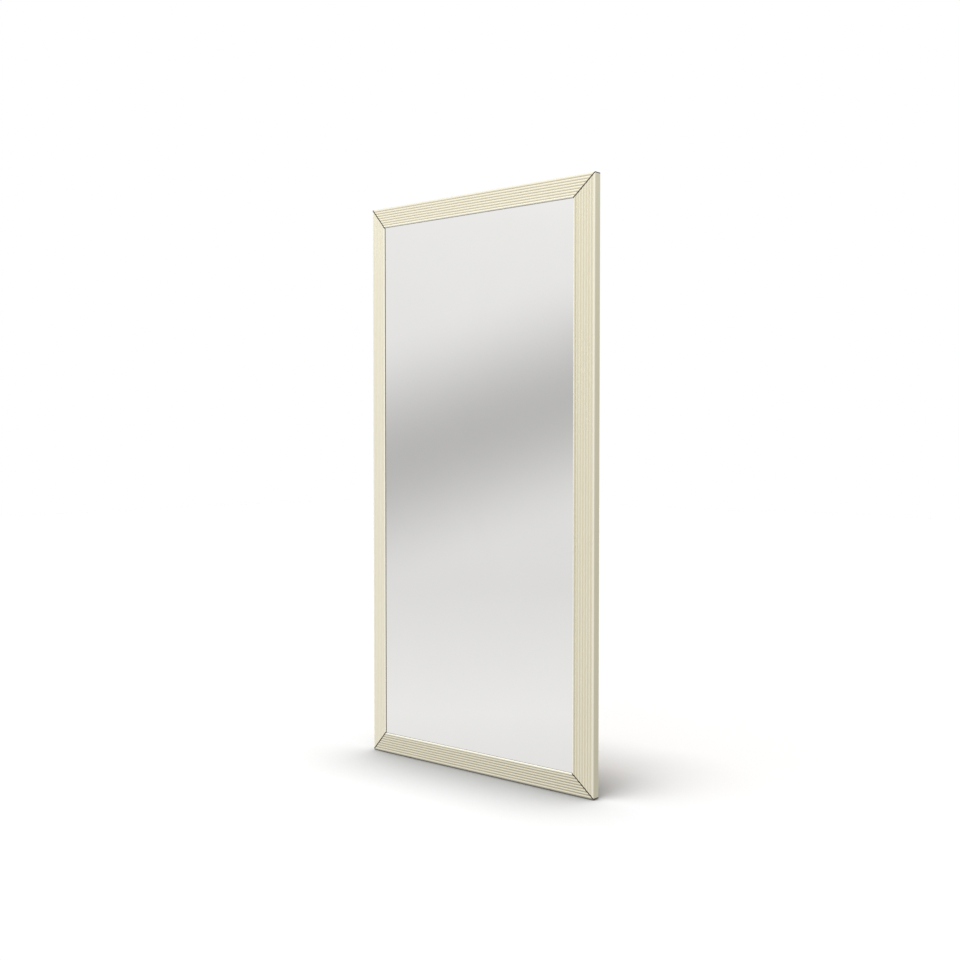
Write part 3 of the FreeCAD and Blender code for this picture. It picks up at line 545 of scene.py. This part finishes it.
def stand_in(name, shapes, finish):
    """A smooth piece made of shapes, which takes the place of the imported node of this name."""
    built = bmesh.new()
    for corners, faces in shapes:
        points = [built.verts.new(corner) for corner in corners]
        for face in faces:
            built.faces.new([points[corner] for corner in face])
    bmesh.ops.recalc_face_normals(built, faces=built.faces)
    mesh = bpy.data.meshes.new(name + "_piece")
    built.to_mesh(mesh)
    built.free()
    mesh.shade_smooth()
    mesh.set_sharp_from_angle(angle=CRISP_TURN)
    mesh.materials.append(finish)
    piece = bpy.data.objects.new(name + "_piece", mesh)
    bpy.context.scene.collection.objects.link(piece)
    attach(piece, body_of(nodes[name])[0])
    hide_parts(name)
    print(finish.name, "on", piece.name, "with", len(mesh.polygons), "faces")


# %% Battens
EASED_EDGE = 3 * MM
EASED_END = 1 * MM
EDGE_STEPS = 4
QUARTER = math.pi / 2


def board_ring(low, high, x, inset):
    """A rectangle with round corners across a board at x, drawn in by an inset."""
    ring = []
    for corner, (y, y_in, z, z_in) in enumerate((
        (high.y, -1, high.z, -1), (low.y, 1, high.z, -1), (low.y, 1, low.z, 1), (high.y, -1, low.z, 1),
    )):
        for step in range(EDGE_STEPS + 1):
            turn = QUARTER * (corner + step / EDGE_STEPS)
            y_off = y_in * EASED_EDGE + (EASED_EDGE - inset) * math.cos(turn)
            z_off = z_in * EASED_EDGE + (EASED_EDGE - inset) * math.sin(turn)
            ring.append((x, y + y_off, z + z_off))
    return ring


for name in ("hanging_batten", "middle_batten", "lower_batten"):
    low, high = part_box(name)
    cuts = ((low.x, EASED_END), (low.x + EASED_END, 0.0), (high.x - EASED_END, 0.0), (high.x, EASED_END))
    stand_in(name, [skin([board_ring(low, high, x, inset) for x, inset in cuts])], pine)

# %% [markdown]
# Mill-finish aluminium: the two cleats
#
# The cleats are extruded too, but nobody sees them, so they stay as they left the press: grey,
# with streaks along their length and some dull patches. The eye gets a cooler metal than the
# frame, less even. The streaks are the same stretched noise, and a second noise dulls patches.

# %% Mill-finish aluminium
MILL_STREAK = 3
MILL_STREAK_LENGTH = 400
MILL_PATCH = 120
MILL_ROUGHNESS = (0.25, 0.5)
MILL_RELIEF = {"Strength": 0.15, "Distance": 0.05 * MM}

mill_aluminium, tree, place = start_material("mill-finish aluminium")
long_way = add(tree, "ShaderNodeMapping", {
    "Vector": place["Object"],
    "Scale": (per_metre(MILL_STREAK_LENGTH), per_metre(MILL_STREAK), per_metre(MILL_STREAK)),
})
streaks = add(tree, "ShaderNodeTexNoise", {
    "Vector": long_way.outputs["Vector"], "Scale": 1.0, "Detail": 4.0,
}).outputs["Fac"]
patches = add(tree, "ShaderNodeTexNoise", {"Vector": place["Object"], "Scale": per_metre(MILL_PATCH)})
tone = add(tree, "ShaderNodeMix", {
    "Factor": streaks, "A": linear("#BFC1C1"), "B": linear("#E2E3E1"),
}, data_type="RGBA")
gloss = add(tree, "ShaderNodeMapRange", {
    "Value": patches.outputs["Fac"], "To Min": MILL_ROUGHNESS[0], "To Max": MILL_ROUGHNESS[1],
})
relief = add(tree, "ShaderNodeBump", {"Height": streaks, **MILL_RELIEF})
shader = add(tree, "ShaderNodeBsdfPrincipled", {
    "Base Color": tone.outputs["Result"], "Metallic": 1.0,
    "Roughness": gloss.outputs["Result"], "Normal": relief.outputs["Normal"],
})
add(tree, "ShaderNodeOutputMaterial", {"Surface": shader.outputs["BSDF"]})
dress(mill_aluminium, "_cleat")

# %% [markdown]
# Cast aluminium: the corner keys
#
# Inside each corner a key joins the two rails. It is cast in a steel mould, and a casting cools
# with a grainy grey skin. The keys are hidden once the frame is closed, but they are still parts,
# so they get the grain: a small noise in colour, roughness and height.

# %% Cast aluminium
CAST_GRAIN = 2

cast_aluminium = mottled(
    "die-cast aluminium", CAST_GRAIN, tones=("#A3A5A5", "#C6C7C5"), roughness=(0.45, 0.65),
    surface=METAL, detail=3.0, relief={"Strength": 0.4, "Distance": 0.2 * MM},
)
dress(cast_aluminium, "_corner_key")

# %% [markdown]
# Zinc-plated steel: screws, turn buttons and feet
#
# Steel hardware is dipped in a zinc bath and then passivated, which leaves a thin clear film. The
# film's thickness varies, so the silver drifts between bluish and yellowish. That drift is what
# tells plated steel from bare steel, and a soft noise between two greys gives it.

# %% Zinc-plated steel
FILM_DRIFT = 14

zinc = mottled(
    "zinc-plated steel", FILM_DRIFT, tones=("#C3CBD4", "#DAD6C6"), roughness=(0.24, 0.4), surface=METAL,
)
dress(zinc, "corner_key_screws", "_stem", "foot_inserts")

# %% [markdown]
# Round-headed screws
#
# The screws are driven from the back, so a bit's six-lobed socket shows in each domed head. A
# screw is nearly a turned part, so its rings are circles whose radius follows the outline from tip
# to head. Only the socket's rings aren't round: a cosine pushes them in and out six times on the way
# round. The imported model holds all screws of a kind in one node. Walking from corner to corner
# along the edges finds each one, and its box says where it sits and how big its head is.

# %% Solids of a node
WELD = 0.01 * MM


def solids_of(name):
    """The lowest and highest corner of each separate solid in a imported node, in a fixed order."""
    shape = bmesh.new()
    shape.from_mesh(nodes[name].data)
    bmesh.ops.remove_doubles(shape, verts=shape.verts, dist=WELD)
    unseen = set(shape.verts)
    boxes = []
    while unseen:
        solid = [unseen.pop()]
        for corner in solid:
            near = {edge.other_vert(corner) for edge in corner.link_edges} & unseen
            unseen -= near
            solid.extend(near)
        sides = list(zip(*(corner.co for corner in solid)))
        boxes.append((tuple(map(min, sides)), tuple(map(max, sides))))
    shape.free()
    return [(Vector(low), Vector(high)) for low, high in sorted(boxes)]


screws = {name: solids_of(name) for name in ("batten_screws", "frame_cleat_screws", "turn_button_screws")}
print("screws:", {name: len(boxes) for name, boxes in screws.items()})

# %% Screws
RING_STEPS = 36
DOME_STEPS = 5
HEAD_HEIGHT = 2 * MM
HEAD_RIM = 0.6 * MM
HEAD_REACH = math.radians(60)
SHANK_SHARE = 0.5  # a shank's radius as a share of its head's
TIP_SHARE = 0.1  # a tip's radius as a share of its shank's
SOCKET_SHARE = 0.4  # a socket's radius as a share of its head's
SOCKET_LOBES = 6
LOBE_SHARE = 0.15  # a lobe's height as a share of its socket's radius
SOCKET_DEPTH = 1.2 * MM


def round_ring(middle, radius, level, lobe=0.0):
    """A circle of corners round an axis from front to back, pushed in and out by lobes."""
    ring = []
    for step in range(RING_STEPS):
        turn = 2 * math.pi * step / RING_STEPS
        reach = radius * (1 + lobe * math.cos(SOCKET_LOBES * turn))
        ring.append((middle.x + reach * math.cos(turn), level, middle.z + reach * math.sin(turn)))
    return ring


def dome(radius, rise, reach):
    """Radius and height at each step up a dome that bends over by this reach."""
    turns = [reach * step / DOME_STEPS for step in range(DOME_STEPS + 1)]
    return [(radius * math.cos(turn), rise * math.sin(turn) / math.sin(reach)) for turn in turns]


def round_headed_screw(low, high):
    """A screw that fills this box, with its head to the back."""
    middle = (low + high) / 2
    radius = (high.x - low.x) / 2
    shank = radius * SHANK_SHARE
    seat = high.y - HEAD_HEIGHT
    turned = [(shank * TIP_SHARE, low.y), (shank, low.y + shank), (shank, seat), (radius, seat)]
    top = dome(radius, HEAD_HEIGHT - HEAD_RIM, HEAD_REACH)
    turned += [(across, seat + HEAD_RIM + up) for across, up in top]
    rings = [round_ring(middle, across, level) for across, level in turned]
    for level in (high.y, high.y - SOCKET_DEPTH):
        rings.append(round_ring(middle, radius * SOCKET_SHARE, level, LOBE_SHARE))
    return skin(rings)


for name, boxes in screws.items():
    stand_in(name, [round_headed_screw(*box) for box in boxes], zinc)

# %% [markdown]
# Turn buttons
#
# A turn button is punched from steel strip. The punch rolls the edge over on the side it comes
# from and leaves a small burr on the other, so one face has a rounder edge. Each button swings on
# its own screw, so each is a piece of its own that rides on its own body. Its rings follow the
# edge: two half circles, one about the pivot. The hole's ring has a corner for each corner of the
# edge, in the same direction from the pivot, so that the skin between them has no twisted faces.

# %% Turn buttons
ARC_STEPS = 16
PUNCHED_ROUND = 0.6 * MM
ROUND_STEPS = 3
BURR = 0.2 * MM
PIVOT_HOLE = 2.1 * MM  # its radius


def button_edge(radius, reach):
    """Distances along and across a button from its pivot to corners round its edge."""
    ends = ((reach, -QUARTER), (0.0, QUARTER))
    steps = range(ARC_STEPS + 1)
    turns = [(end, start + math.pi * step / ARC_STEPS) for end, start in ends for step in steps]
    return [(end + radius * math.cos(turn), radius * math.sin(turn)) for end, turn in turns]


def turn_button(low, high):
    """A punched button in this box, with its pivot at the end away from the frame's middle."""
    span = high - low
    middle = (low + high) / 2
    along = Vector((1, 0, 0)) if span.x > span.z else Vector((0, 0, 1))
    pointing = along if along.dot(frame_middle - middle) > 0 else -along
    across = Vector((0, 1, 0)).cross(pointing)
    radius = min(span.x, span.z) / 2
    reach = max(span.x, span.z) - 2 * radius
    pivot = middle - pointing * reach / 2

    def ring(points, level):
        spots = [pivot + pointing * far + across * wide for far, wide in points]
        return [(spot.x, level, spot.z) for spot in spots]

    def hole(size):
        return [
            (far * size / math.hypot(far, wide), wide * size / math.hypot(far, wide))
            for far, wide in button_edge(radius, reach)
        ]

    rings = [
        ring(hole(PIVOT_HOLE), low.y),
        ring(button_edge(radius - BURR, reach), low.y),
        ring(button_edge(radius, reach), low.y + BURR),
    ]
    for step in range(ROUND_STEPS + 1):
        turn = QUARTER * step / ROUND_STEPS
        drawn_in = PUNCHED_ROUND * (1 - math.cos(turn))
        level = high.y - PUNCHED_ROUND * (1 - math.sin(turn))
        rings.append(ring(button_edge(radius - drawn_in, reach), level))
    rings.append(ring(hole(PIVOT_HOLE + BURR), high.y))
    rings.append(ring(hole(PIVOT_HOLE), high.y - BURR))
    return skin(rings, looped=True)


for name in sorted(name for name in nodes if "_turn_button_" in name):
    stand_in(name, [turn_button(*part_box(name))], zinc)

# %% [markdown]
# Soft plastics: bumpers, foot pads, film and tape
#
# Four kinds of piece are plastic. The wall bumpers are cast from clear polyurethane: a drop of it
# draws itself into a low dome before it sets, a little cloudy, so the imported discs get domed
# twins. The foot pads are moulded nylon, black with the fine grain of the mould. A polyester film
# is glued to the back of the glass, to hold the pieces if it breaks, and strips of acrylic foam
# bond the film to the panel. Each starts from how it was made: clouds for what was poured, grain
# for what was moulded, cells for what was foamed.

# %% Bumpers of cast polyurethane
CLOUD_SIZE = 6
GLUE_FILM = 0.05 * MM  # keeps the resin off the metal, so that light gets down to it and back
BUMPER_RIM = 0.5 * MM
BUMPER_REACH = math.radians(84)

polyurethane = mottled(
    "cast clear polyurethane", CLOUD_SIZE, tones=("#DADFDD", "#F0F3F1"), roughness=(0.05, 0.2),
    surface={"IOR": 1.49, "Transmission Weight": 0.9},
)


def bumper(low, high):
    """A drop of resin that set on its backing: a low dome over a short upright rim."""
    middle = (low + high) / 2
    radius = (high.x - low.x) / 2
    rim = low.y + BUMPER_RIM
    rings = [round_ring(middle, radius, low.y + GLUE_FILM)]
    rings += [round_ring(middle, across, rim + up) for across, up in dome(radius, high.y - rim, BUMPER_REACH)]
    return skin(rings)


drops = [bumper(*box) for box in solids_of("wall_bumpers")]
stand_in("wall_bumpers", drops, polyurethane)

# %% Moulded nylon
MOULD_GRAIN = 1  # the real grain is about 0.1 mm, drawn coarser so that it shows

nylon = mottled(
    "moulded black nylon", MOULD_GRAIN, tones=("#161617", "#222223"), roughness=(0.45, 0.6),
    surface={"IOR": 1.53}, relief={"Strength": 0.2, "Distance": 0.05 * MM},
)
dress(nylon, "_foot_pad")

# %% Polyester film
FILM_RIPPLE = 60

film = mottled(
    "laminated polyester film", FILM_RIPPLE, tones=("#8B9BA6", "#A3B2BB"), roughness=(0.15, 0.3),
    surface={"IOR": 1.57},
)
dress(film, "safety_film")

# %% Acrylic foam
FOAM_CELL = 1.5  # the real cells are about 0.2 mm, drawn coarser so that they show
FOAM_ROUGHNESS = (0.75, 0.95)

foam, tree, place = start_material("acrylic foam tape")
cells = add(tree, "ShaderNodeTexVoronoi", {
    "Vector": place["Object"], "Scale": per_metre(FOAM_CELL),
}).outputs["Distance"]
tone = add(tree, "ShaderNodeMix", {
    "Factor": cells, "A": linear("#E4E2DC"), "B": linear("#C9C6BE"),
}, data_type="RGBA")
gloss = add(tree, "ShaderNodeMapRange", {
    "Value": cells, "To Min": FOAM_ROUGHNESS[0], "To Max": FOAM_ROUGHNESS[1],
})
shader = add(tree, "ShaderNodeBsdfPrincipled", {
    "Base Color": tone.outputs["Result"], "Roughness": gloss.outputs["Result"], "IOR": 1.49,
})
add(tree, "ShaderNodeOutputMaterial", {"Surface": shader.outputs["BSDF"]})
dress(foam, "bonding_tape")

# %% [markdown]
# The floor
#
# The studio floor is a roll of white paper, wide enough to fill the picture. Seen straight on it
# should be plain white, and near the mirror it should keep a soft shadow. A paper lit only by
# lamps would need more light than the mirror can bear, so a part of its white is a faint glow
# that only the camera sees. Near the mirror a painted shadow is added: Ambient Occlusion measures
# how much of the sky near a point is open, and the paper's colour and glow are darkened by it.
# The floor stays out of reflections, where the studio itself is shown.

# %% Floor
FLOOR_SIZE = 30.0

floor_level = cad_box[0][2]
half = FLOOR_SIZE / 2
floor_mesh = bpy.data.meshes.new("studio_floor")
corners = [(x * half, y * half, floor_level) for x, y in ((-1, -1), (1, -1), (1, 1), (-1, 1))]
floor_mesh.from_pydata(corners, [], [range(len(corners))])
floor = bpy.data.objects.new("studio_floor", floor_mesh)
bpy.context.scene.collection.objects.link(floor)
floor.visible_glossy = False
floor.visible_transmission = False
print("floor at", round(floor_level / MM, 1), "mm")

# %% White paper
SHADE_REACH = 380 * MM
SHADE_SAMPLES = 16
LEAST_SKY = 0.46  # light creeps in under the rails, so the sky there counts as this much open
PAPER_GLOW = 0.06
PAPER_CLOUD = 400

paper, tree, place = start_material("white paper roll")
pulp = add(tree, "ShaderNodeTexNoise", {"Vector": place["Object"], "Scale": per_metre(PAPER_CLOUD)})
sheet = add(tree, "ShaderNodeMix", {
    "Factor": pulp.outputs["Fac"], "A": linear("#DADADA"), "B": linear("#DCDCDC"),
}, data_type="RGBA")
unhidden = add(tree, "ShaderNodeAmbientOcclusion", {"Distance": SHADE_REACH}, samples=SHADE_SAMPLES)
open_sky = add(tree, "ShaderNodeMath", {
    0: unhidden.outputs["AO"], 1: LEAST_SKY,
}, operation="MAXIMUM").outputs[0]
# painted shadow: the paper's colour goes towards black where little sky is open
tone = add(tree, "ShaderNodeMix", {
    "Factor": open_sky, "A": linear("#000000"), "B": sheet.outputs["Result"],
}, data_type="RGBA")
path = add(tree, "ShaderNodeLightPath")
seen = add(tree, "ShaderNodeMath", {
    0: path.outputs["Is Camera Ray"], 1: PAPER_GLOW,
}, operation="MULTIPLY")
# the glow is darkened by the same painted shadow
glow = add(tree, "ShaderNodeMath", {0: seen.outputs[0], 1: open_sky}, operation="MULTIPLY")
shader = add(tree, "ShaderNodeBsdfPrincipled", {
    "Base Color": tone.outputs["Result"], "Roughness": 1.0, "Specular IOR Level": 0.0,
    "Emission Color": linear("#FFFFFF"), "Emission Strength": glow.outputs[0],
})
add(tree, "ShaderNodeOutputMaterial", {"Surface": shader.outputs["BSDF"]})
floor_mesh.materials.append(paper)
print(paper.name, "on", floor.name)

# %% [markdown]
# The studio
#
# A mirror shows the room it stands in, so here the room matters more than the lamps. The world
# plays three parts, told apart by the kind of ray: plain white behind the object for the camera,
# even soft light for matt surfaces, and a studio for everything that shines. That studio is
# brighter overhead than underfoot, which draws each reed of the rails as a bright band with a
# darker side. It is also brighter in front and on the left than behind and on the right, which
# does the same for the uprights. In front and to the left it has one darker strip, a gap between
# two white screens, and the glass shows it as a slanted grey band. Each of these is worked out
# from the direction in which a ray leaves, whose X, Y and Z go from -1 to 1.

# %% Levels from floor to ceiling
STUDIO_LEVELS = (
    (-1.0, 0.22), (-0.56, 0.56), (-0.35, 0.78), (-0.217, 0.953), (-0.12, 0.837), (0.0, 0.87),
    (0.17, 0.953), (0.32, 1.15), (0.55, 0.97), (0.75, 1.12), (0.88, 1.4), (1.0, 1.15),
)

world = bpy.data.worlds.new("white studio")
bpy.context.scene.world = world
world.use_nodes = True
tree = world.node_tree
tree.nodes.clear()
toward = add(tree, "ShaderNodeTexCoord").outputs["Generated"]
way = add(tree, "ShaderNodeSeparateXYZ", {"Vector": toward})
rise = add(tree, "ShaderNodeMapRange", {"Value": way.outputs["Z"], "From Min": -1.0, "From Max": 1.0})
ramp = add(tree, "ShaderNodeValToRGB", {"Fac": rise.outputs["Result"]})
stops = ramp.color_ramp.elements
while len(stops) < len(STUDIO_LEVELS):
    stops.new(1.0)
for stop, (height, level) in zip(stops, STUDIO_LEVELS):
    stop.position = (height + 1) / 2
    stop.color = (level, level, level, 1)
print("studio levels:", len(stops))

# %% Gap between the screens
GAP_LEAN = Vector((-0.2446, 0.2093, 0.9468))  # at right angles to the gap
GAP_MIDDLE = 0.0098
GAP_REACH = 0.10
GAP_DEPTH = 0.411  # what the gap takes off the light
SCREEN_DEPTH = 0.08  # what the screens take off
GAP_SIDE = Vector((-0.65, -0.76, 0.0))  # where the screens stand
SCREEN_EDGE = 0.90  # the screens begin where the cosine of the angle from there is this
SCREEN_FULL = 0.965

lean = add(tree, "ShaderNodeVectorMath", {0: toward, 1: GAP_LEAN}, operation="DOT_PRODUCT")
off_gap = add(tree, "ShaderNodeMath", {0: lean.outputs["Value"], 1: GAP_MIDDLE}, operation="SUBTRACT")
from_gap = add(tree, "ShaderNodeMath", {0: off_gap.outputs[0]}, operation="ABSOLUTE")
gap = add(tree, "ShaderNodeMapRange", {
    "Value": from_gap.outputs[0], "From Max": GAP_REACH, "To Min": GAP_DEPTH, "To Max": SCREEN_DEPTH,
}, interpolation_type="SMOOTHSTEP")
beside = add(tree, "ShaderNodeVectorMath", {0: toward, 1: GAP_SIDE}, operation="DOT_PRODUCT")
window = add(tree, "ShaderNodeMapRange", {
    "Value": beside.outputs["Value"], "From Min": SCREEN_EDGE, "From Max": SCREEN_FULL,
})
dark = add(tree, "ShaderNodeMath", {
    0: gap.outputs["Result"], 1: window.outputs["Result"],
}, operation="MULTIPLY")
kept = add(tree, "ShaderNodeMath", {0: 1.0, 1: dark.outputs[0]}, operation="SUBTRACT")
print("the gap leans by", round(math.degrees(GAP_LEAN.angle(Vector((0, 0, 1))))), "degrees")

# %% Walls, and the floor behind
STUDIO_WALLS = {  # the axis, where along it the wall starts and is full, and its level there
    "left": ("X", -0.75, -1.0, 1.3),
    "right": ("X", 0.78, 1.0, 0.42),
    "ahead": ("Y", -0.82, -1.0, 1.15),
    "behind": ("Y", 0.0, 0.7, 0.62),
}
SHADOW_START = -0.35  # the floor behind the mirror lies in its shadow below this
SHADOW_FULL = -0.6
SHADOW_DEPTH = 0.85
SHADOW_NEAR = 0.3  # and further behind than this
SHADOW_FAR = 0.6

underfoot = add(tree, "ShaderNodeMapRange", {
    "Value": way.outputs["Z"], "From Min": SHADOW_START, "From Max": SHADOW_FULL,
    "To Min": 0.0, "To Max": SHADOW_DEPTH,
})
shadow = add(tree, "ShaderNodeMapRange", {
    "Value": way.outputs["Y"], "From Min": SHADOW_NEAR, "From Max": SHADOW_FAR,
    "To Max": underfoot.outputs["Result"],
})
unshaded = add(tree, "ShaderNodeMath", {0: 1.0, 1: shadow.outputs["Result"]}, operation="SUBTRACT")
walls = [
    add(tree, "ShaderNodeMapRange", {
        "Value": way.outputs[axis], "From Min": start, "From Max": full, "To Min": 1.0, "To Max": strength,
    })
    for axis, start, full, strength in STUDIO_WALLS.values()
]
level = kept
for wall in (*walls, unshaded):
    level = add(tree, "ShaderNodeMath", {0: level.outputs[0], 1: wall.outputs[0]}, operation="MULTIPLY")
print("walls:", ", ".join(STUDIO_WALLS))

# %% Three kinds of ray
SOFT_LIGHT = 0.68

studio = add(tree, "ShaderNodeBackground", {"Color": ramp.outputs["Color"], "Strength": level.outputs[0]})
soft = add(tree, "ShaderNodeBackground", {"Color": linear("#FFFFFF"), "Strength": SOFT_LIGHT})
white = add(tree, "ShaderNodeBackground", {"Color": linear("#FFFFFF"), "Strength": 1.0})
path = add(tree, "ShaderNodeLightPath")
shiny = add(tree, "ShaderNodeMath", {
    0: path.outputs["Is Glossy Ray"], 1: path.outputs["Is Transmission Ray"],
}, operation="MAXIMUM")
lit = add(tree, "ShaderNodeMixShader", {
    0: shiny.outputs[0], 1: soft.outputs["Background"], 2: studio.outputs["Background"],
})
shown = add(tree, "ShaderNodeMixShader", {
    0: path.outputs["Is Camera Ray"], 1: lit.outputs["Shader"], 2: white.outputs["Background"],
})
add(tree, "ShaderNodeOutputWorld", {"Surface": shown.outputs["Shader"]})
print(world.name, "with", len(tree.nodes), "nodes")

# %% [markdown]
# The lamp
#
# One broad softbox hangs in front of the mirror, above it and a little to the left. It lays the
# mirror's own shadow on the floor behind it, with a wide soft edge. A sun lamp with a large angle
# is the simplest softbox, because it needs no distance. It is kept out of reflections: a real
# photographer would flag the lamp so that the mirror doesn't throw it back on the floor.

# %% Lamp
LAMP_STRENGTH = 2.2
LAMP_BREADTH = math.radians(18)
LAMP_FORWARD = math.radians(11)
LAMP_LEFT = math.radians(-2)

lamp = bpy.data.lights.new("overhead_softbox", "SUN")
lamp.energy = LAMP_STRENGTH
lamp.angle = LAMP_BREADTH
softbox = bpy.data.objects.new("overhead_softbox", lamp)
bpy.context.scene.collection.objects.link(softbox)
softbox.rotation_euler = (LAMP_FORWARD, LAMP_LEFT, 0)
softbox.visible_glossy = False
shining = softbox.rotation_euler.to_matrix() @ Vector((0, 0, -1))
print("lamp shines along", [round(c, 2) for c in shining])

# %% [markdown]
# The camera
#
# The picture was taken from the right at chest height, with a lens that is neither wide nor long.
# The camera's place was worked out from how the upright edges lean and how the rails close in on
# each other, with the frame's real size as the ruler.

# %% Camera
CAMERA_PLACE = Vector((2745.8, -3211.4, -723.6)) * MM
CAMERA_TURN = math.radians(40.57)
CAMERA_DIP = math.radians(1.792)
SENSOR_WIDTH = 36.0
FOCAL_LENGTH = 45.76

lens = bpy.data.cameras.new("photo_camera")
lens.sensor_width = SENSOR_WIDTH
lens.lens = FOCAL_LENGTH
camera = bpy.data.objects.new("photo_camera", lens)
bpy.context.scene.collection.objects.link(camera)
camera.location = CAMERA_PLACE
camera.rotation_euler = (math.radians(90) - CAMERA_DIP, 0, CAMERA_TURN)
bpy.context.scene.camera = camera
bpy.context.scene.view_settings.view_transform = "Standard"
print("camera", round(CAMERA_PLACE.z - floor_level, 2), "m above the floor")
